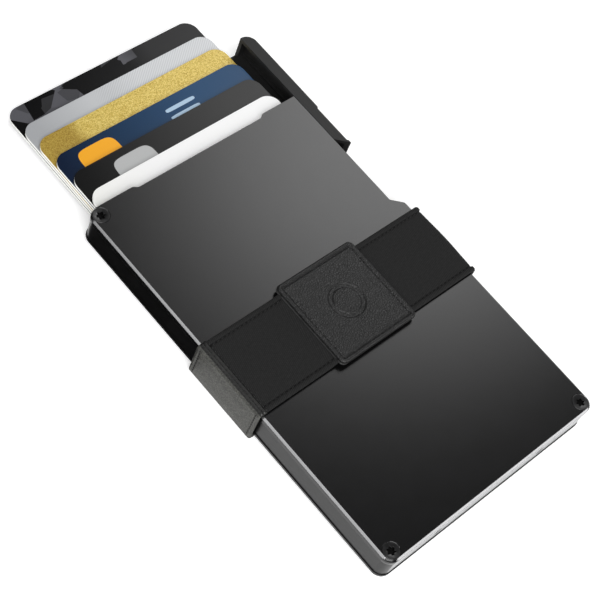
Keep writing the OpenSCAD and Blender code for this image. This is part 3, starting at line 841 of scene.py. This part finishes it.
class WALLET_OT_side_tab(Operator):
    """Grained tab folded round the left edge, sewn over the ends of the elastic"""

    bl_idname = "wallet.side_tab"
    bl_label = "Side tab"

    def grain(self, s):
        # Coated grained leather: fine pebbles with light tips that catch the light from the side
        material, tree, shader, coords = new_material("grained_tab_leather", 0.55)
        pebbles = add(tree, "TexVoronoi", {
            "Vector": coords, "Scale": 1 / (0.32 * MM), "Smoothness": 0.25}, feature="SMOOTH_F1")
        noise = add(tree, "TexNoise", {
            "Vector": coords, "Scale": 1 / (0.5 * MM), "Detail": 4.0})
        tone = add(tree, "Math", {0: pebbles, 1: noise}, operation="MULTIPLY")
        place = add(tree, "MapRange", {"Value": tone, "From Min": 0.1, "From Max": 0.42})
        mix = add(tree, "Mix", {"Factor": place, "A": s.tab_dark, "B": s.tab_light}, data_type="RGBA")
        dress(tree, shader, mix, tone, 0.9, 0.12 * MM)
        return material

    def execute(self, context):
        s = context.scene.wallet_band
        low, high, _ = size_of("band_front")
        back_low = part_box("band_back")[0]
        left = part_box("band_side_tab")[0].x
        flap = s.tab_flap
        radius = 0.7 * MM
        start = left + flap
        # How far the tab stands out over the band, and how far it runs past each of the band's edges
        proud, past = 0.1 * MM, 0.12 * MM
        at, total = wrap_path(-left + proud, back_low.z, high.z + proud, radius, start, -1)
        fold = flap + proud - radius
        rows = (-past, fold / 2, fold)
        # Where the seams along the tab's long edges begin, and how wide a sunk seam is
        side_seam, seam_w = fold + 1.9 * MM, 0.2 * MM

        def relief(t, inset):
            end = min(t, total - t)
            rim = (1 - smooth_step(end, 0, 0.4 * MM)) ** 1.5
            side = (1 - smooth_step(inset, 0, 0.45 * MM)) ** 1.5
            seams = [math.exp(-((end - d) / seam_w) ** 2) for d in rows[1:]]
            if end > side_seam - 0.9 * MM:
                seams.append(math.exp(-((inset - 1.1 * MM) / seam_w) ** 2))
            bulge = smooth_step(end, side_seam - 0.9 * MM, side_seam + 1.5 * MM)
            bulge *= smooth_step(inset, 0.6 * MM, 4 * MM)
            return 0.2 * MM * bulge - 0.3 * MM * max(rim, side) - 0.2 * MM * max(seams)

        bm = strap_mesh(at, total, low.y - past, high.y + past, 130, 120, relief)
        uv = bm.loops.layers.uv.active
        for face in bm.faces:
            t = face.loops[0][uv].uv.x
            face.material_index = 1 if min(t, total - t) < fold + 0.2 * MM else 0
        bmesh.ops.solidify(bm, geom=bm.faces[:], thickness=s.tab_thickness)
        bmesh.ops.recalc_face_normals(bm, faces=bm.faces)
        # The same coated leather where it is folded under and sewn down: darker, pressed smooth
        piping = grained("pressed_tab_edge", s.weave_dark, s.tab_dark, 0.42, 0.25 * MM, 0.3)
        tab = make_object("side_tab_leather", mesh_from(bm), [self.grain(s), piping], "band",
                          ["band_side_tab"])
        bm = bmesh.new()
        pitch = s.stitch_pitch * 0.8
        # Depth of the stitches' middles under the tab's plain surface
        sunk = 0.14 * MM
        count = int((high.y - low.y - 1.2 * MM) / pitch)
        for d in rows:
            for t in (max(d, 0), total - max(d, 0)):
                point, way = at(t)
                ahead, _ = at(min(t + 0.05 * MM, total))
                behind, _ = at(max(t - 0.05 * MM, 0))
                point = point + (ahead - behind).normalized() * (min(d, 0) if t < total / 2 else -min(d, 0))
                for i in range(count + 1):
                    y = low.y + 0.6 * MM + i * pitch
                    add_stitch(bm, point + Vector((0, y, 0)) - way * sunk, Vector((0, 1, 0)), way,
                               s.stitch * 0.75, s.thread * 0.9)
        for y in (low.y + 1.0 * MM, high.y - 1.0 * MM):
            steps = int((total - 2 * side_seam + 0.6 * MM) / pitch)
            for i in range(steps + 1):
                stitch_on(bm, at, side_seam - 0.3 * MM + i * pitch, y, -sunk, s)
        thread = thread_material(s.thread_colour)
        make_object("side_tab_stitches", mesh_from(bm), [thread], "band")
        return {"FINISHED"}


# ---- patch ----


class PatchSettings(PropertyGroup):
    leather_dark: colour("Leather, dark", "Darker tone of the patch's leather", "0a0a0a")
    leather_light: colour("Leather, light", "Lighter tone of the patch's leather", "222222")
    backing: colour("Backing", "Cut edge of the patch's backing", "3d3d3d")
    corner: length("Corner", "Corner radius of the patch", 1.3)
    welt: length("Welt", "Width of the rolled rim round the patch", 1.15)
    groove: length("Groove", "Depth of the sewn groove inside the rim", 0.32)
    crown: length("Crown", "How far the middle of the patch swells", 0.18)
    press: length("Press", "Depth of the pressed ring", 0.22)
    ring: length("Ring", "Middle radius of the pressed ring", 3.7)
    ring_line: length("Ring line", "Width of the pressed ring's line", 1.1)
    pebble: length("Pebble", "Size of the leather's pebbles", 0.5)
    stitches: IntProperty(name="Stitches", description="Stitches round the patch", default=64, min=8)


class WALLET_OT_patch(Operator):
    """Leather patch with a rolled rim, sewn groove and pressed ring, on its backing"""

    bl_idname = "wallet.patch"
    bl_label = "Leather patch"

    def leather(self, s):
        # Full-grain leather, dyed black and lightly waxed: soft pebbles with a dull shine
        material, tree, shader, coords = new_material("pebbled_black_leather", 0.42)
        pebbles = add(tree, "TexVoronoi", {
            "Vector": coords, "Scale": 1 / s.pebble}, feature="DISTANCE_TO_EDGE")
        rounded = add(tree, "MapRange", {
            "Value": pebbles, "From Max": 0.22}, interpolation_type="SMOOTHSTEP")
        noise = add(tree, "TexNoise", {
            "Vector": coords, "Scale": 1 / (1.6 * MM), "Detail": 5.0})
        height = add(tree, "Math", {0: rounded, 1: noise}, operation="MULTIPLY")
        place = add(tree, "MapRange", {"Value": height, "From Min": 0.1, "From Max": 0.7})
        mix = add(tree, "Mix", {
            "Factor": place, "A": s.leather_dark, "B": s.leather_light}, data_type="RGBA")
        dress(tree, shader, mix, height, 0.6, 0.13 * MM)
        return material

    def execute(self, context):
        s = context.scene.wallet_patch
        low, high, middle = size_of("leather_patch")
        half = (high - low) / 2
        top = high.z - s.crown * 0.6
        corner = s.corner

        def rounded(x, y):
            """Moves a point of the plain rectangle to the one with round corners."""
            inner_x, inner_y = half.x - corner, half.y - corner
            a, b = (abs(x) - inner_x) / corner, (abs(y) - inner_y) / corner
            if a <= 0 or b <= 0:
                return x, y
            return (math.copysign(inner_x + corner * a * math.sqrt(1 - b * b / 2), x),
                    math.copysign(inner_y + corner * b * math.sqrt(1 - a * a / 2), y))

        def inset(x, y):
            """Distance from the round-cornered outline."""
            a, b = abs(x) - half.x + corner, abs(y) - half.y + corner
            outside = math.hypot(max(a, 0), max(b, 0))
            return corner - outside if max(a, b) > 0 else corner - max(a, b)

        def height(x, y):
            d = inset(x, y)
            roll = math.sqrt(max(0, 1 - (1 - min(d / (0.45 * MM), 1)) ** 2)) - 1
            level = 0.5 * MM * roll
            level -= s.groove * math.exp(-((d - s.welt) / (0.22 * MM)) ** 2)
            field = smooth_step(d, s.welt, s.welt + 0.9 * MM)
            level -= 0.08 * MM * field
            swell = (1 - (x / half.x) ** 2) * (1 - (y / half.y) ** 2)
            level += s.crown * field * swell
            away = abs(math.hypot(x, y) - s.ring) - s.ring_line / 2
            level -= s.press * (1 - smooth_step(away, -0.18 * MM, 0.12 * MM))
            return level

        bm = bmesh.new()
        bmesh.ops.create_grid(bm, x_segments=150, y_segments=150, size=1)
        for v in bm.verts:
            x, y = rounded(v.co.x * half.x, v.co.y * half.y)
            v.co = Vector((middle.x + x, middle.y + y, top + height(x, y)))
        rim = [e for e in bm.edges if e.is_boundary]
        bottom = next_ring(bm, rim, lambda co: Vector((co.x, co.y, low.z)))
        close_ring(bm, bottom)
        bmesh.ops.recalc_face_normals(bm, faces=bm.faces)
        make_object("patch_leather_pebbled", mesh_from(bm), [self.leather(s)], "band",
                    ["leather_patch"])

        # Cut edge of bonded leather board: waxed, a shade lighter than the leather
        board = grained("waxed_leather_board", s.leather_light, s.backing, 0.32, 0.3 * MM, 0.15)
        bm = merged_copy("patch_backing")
        backing = make_object("patch_backing_board", mesh_from(bm), [board], "band",
                              ["patch_backing"])
        soften_edges(backing, 0.12 * MM, 3)

        bm = bmesh.new()
        line_x, line_y, line_r = half.x - s.welt, half.y - s.welt, 0.7 * MM
        straight_x, straight_y = 2 * (line_x - line_r), 2 * (line_y - line_r)
        quarter = math.pi * line_r / 2
        around = 2 * (straight_x + straight_y) + 4 * quarter
        for i in range(s.stitches):
            t = (i + 0.5) * around / s.stitches
            sides = [(straight_x, 0), (straight_y, 1), (straight_x, 2), (straight_y, 3)]
            for run, side in sides:
                turn = Matrix.Rotation(-side * math.pi / 2, 3, "Z")
                reach = line_y if side % 2 == 0 else line_x
                if t < run:
                    point, along = Vector((t - run / 2, reach, 0)), Vector((1, 0, 0))
                    break
                t -= run
                if t < quarter:
                    a = t / line_r
                    point = Vector((run / 2 + line_r * math.sin(a), reach - line_r + line_r * math.cos(a), 0))
                    along = Vector((math.cos(a), -math.sin(a), 0))
                    break
                t -= quarter
            point, along = turn @ point, turn @ along
            lean = along.cross(Vector((0, 0, 1))) * 0.22
            z = top + height(point.x, point.y) + 0.05 * MM
            add_stitch(bm, Vector((middle.x + point.x, middle.y + point.y, z)), along + lean,
                       Vector((0, 0, 1)), 0.8 * MM, 0.22 * MM)
        make_object("patch_stitches", mesh_from(bm), [thread_material(srgb("0e0e0e"))], "band")
        return {"FINISHED"}


# ---- stage ----

KEY_WAY = (0.642, 0.308, 0.703)
LIGHT_DISTANCE = 0.6
# Height of the flag over the floor, its width, and how far it runs past the plate's top
FLAG_LIFT, FLAG_WIDTH, FLAG_OVERRUN = 0.3 * MM, 50 * MM, 2 * MM


class StageSettings(PropertyGroup):
    floor_colour: colour("Floor", "Pale floor under the wallet", "f2f2f2")
    floor_glow: FloatProperty(
        name="Floor glow", description="Light that the floor adds by itself", default=0.42, min=0)
    surround: factor("Surround", "Brightness of the room round the lights", 0.08)
    lens: FloatProperty(name="Lens", description="Focal length", default=100.1646, min=1, unit="CAMERA")
    roll: FloatProperty(
        name="Roll", description="Turn of the camera about its line of sight",
        default=math.radians(26.3089), subtype="ANGLE")
    camera_place: FloatVectorProperty(
        name="Camera", description="Where the camera stands", size=3, unit="LENGTH",
        default=[-187.06 * MM, -81.22 * MM, 302.53 * MM])
    camera_aim: FloatVectorProperty(
        name="Aim", description="Point that the camera looks at", size=3, unit="LENGTH",
        default=[-6.495 * MM, 7.157 * MM, 9.13 * MM])


class WALLET_OT_stage(Operator):
    """Pale floor, soft studio lights and the camera"""

    bl_idname = "wallet.stage"
    bl_label = "Stage"

    def softbox(self, name, way, distance, width, height, radiance, aim, shape="RECTANGLE"):
        """Soft light in a given direction from its aim, of a given brightness."""
        light = bpy.data.lights.new(name, "AREA")
        light.shape = shape
        light.size, light.size_y = width, height
        light.energy = radiance * math.pi * width * height
        lamp = link_object(name, light)
        way = Vector(way).normalized()
        lamp.location = aim + way * distance
        lamp.rotation_mode = "QUATERNION"
        lamp.rotation_quaternion = way.to_track_quat("Z", "Y")

    def execute(self, context):
        s = context.scene.wallet_stage
        bm = bmesh.new()
        bmesh.ops.create_grid(bm, x_segments=4, y_segments=4, size=1.5)
        # Painted board floor: matt white with a faint mottle
        material, tree, shader, coords = new_material(
            "white_floor_paint", 0.8, Emission_Strength=s.floor_glow, Specular_IOR_Level=0.1)
        mottle = add(tree, "TexNoise", {"Vector": coords, "Scale": 6.0})
        place = add(tree, "MapRange", {"Value": mottle, "To Min": 0.0, "To Max": 0.1})
        mix = add(tree, "Mix", {
            "Factor": place, "A": s.floor_colour, "B": WHITE}, data_type="RGBA")
        join(tree, mix, shader.inputs["Base Color"])
        shader.inputs["Emission Color"].default_value = s.floor_colour
        link_object("floor", mesh_from(bm, False), [material])

        aim = Vector((0, 10 * MM, 5 * MM))
        # The key is a round diffuser with a hot middle, built up from three discs
        for number, (spread, radiance) in enumerate(((7, 3.3), (11, 2.6), (15.5, 1.1))):
            across = 2 * LIGHT_DISTANCE * math.tan(math.radians(spread))
            self.softbox("key_disc_%d" % number, KEY_WAY, LIGHT_DISTANCE, across, across, radiance, aim,
                         "DISK")
        # name, way from the wallet, distance, width, height, radiance
        for softbox in (
            ("strip_left", (-0.83, 0.1, 0.52), LIGHT_DISTANCE, 0.4, 0.22, 1.7),
            ("low_front", (0.54, -0.82, 0.2), LIGHT_DISTANCE, 0.42, 0.2, 3.0),
            ("fill_camera_side", (-0.45, -0.5, 0.74), 0.8, 0.7, 0.7, 4.8),
        ):
            self.softbox(*softbox, aim)

        # Black sheet laid beside the upper left wall, seen only in reflections: a painted dark reflection, so
        # that the wall reads black
        bm = bmesh.new()
        bmesh.ops.create_grid(bm, x_segments=1, y_segments=1, size=0.5)
        wall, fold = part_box("front_plate")[0].x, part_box("band_front")[1].y
        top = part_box("front_plate")[1].y
        for v in bm.verts:
            v.co = Vector((wall - FLAG_LIFT - (0.5 - v.co.x) * FLAG_WIDTH,
                           fold + (v.co.y + 0.5) * (top - fold + FLAG_OVERRUN), FLAG_LIFT))
        black = new_material("black_flag_painted_reflection", 0.9, Base_Color=(0.001, 0.001, 0.001, 1))[0]
        flag = link_object("flag", mesh_from(bm, False), [black])
        flag.visible_camera = flag.visible_diffuse = flag.visible_shadow = False
        flag.visible_transmission = flag.visible_volume_scatter = False

        world = context.scene.world or bpy.data.worlds.new("room")
        context.scene.world = world
        world.use_nodes = True
        world.node_tree.nodes.clear()
        glow = add(world.node_tree, "Background", {
            "Color": WHITE, "Strength": s.surround})
        add(world.node_tree, "OutputWorld", {"Surface": glow})
        context.scene.view_settings.view_transform = "Standard"

        camera = bpy.data.cameras.new("camera")
        camera.lens = s.lens
        camera.sensor_width = 36
        camera.clip_start = 0.01
        holder = link_object("camera", camera)
        holder.location = s.camera_place
        sight = Vector(s.camera_aim) - Vector(s.camera_place)
        holder.rotation_mode = "QUATERNION"
        holder.rotation_quaternion = sight.to_track_quat("-Z", "Y") @ Quaternion((0, 0, 1), s.roll)
        context.scene.camera = holder
        return {"FINISHED"}


class WALLET_PT_pieces(Panel):
    """Buttons for each group of pieces"""

    bl_label = "Card wallet"
    bl_idname = "WALLET_PT_pieces"
    bl_space_type = "VIEW_3D"
    bl_region_type = "UI"
    bl_category = "Wallet"

    def draw(self, context):
        for operator in OPERATORS:
            self.layout.operator(operator.bl_idname)


SETTINGS = {
    "wallet_plates": PlateSettings, "wallet_screws": ScrewSettings, "wallet_slide": SlideSettings,
    "wallet_cards": CardSettings, "wallet_band": BandSettings, "wallet_patch": PatchSettings,
    "wallet_stage": StageSettings,
}
OPERATORS = [
    WALLET_OT_stage, WALLET_OT_plates, WALLET_OT_frame, WALLET_OT_screws, WALLET_OT_slide,
    WALLET_OT_fan_lever, WALLET_OT_cards, WALLET_OT_elastic_band, WALLET_OT_side_tab, WALLET_OT_patch,
]


def register():
    for kind in [*SETTINGS.values(), *OPERATORS, WALLET_PT_pieces]:
        bpy.utils.register_class(kind)
    for name, kind in SETTINGS.items():
        setattr(bpy.types.Scene, name, PointerProperty(type=kind))


def unregister():
    for name in SETTINGS:
        delattr(bpy.types.Scene, name)
    for kind in reversed([*SETTINGS.values(), *OPERATORS, WALLET_PT_pieces]):
        bpy.utils.unregister_class(kind)


def main():
    register()
    for operator in OPERATORS:
        group, name = operator.bl_idname.split(".")
        if getattr(getattr(bpy.ops, group), name)() != {"FINISHED"}:
            raise RuntimeError(operator.bl_label + " didn't finish")


if __name__ == "__main__":
    main()
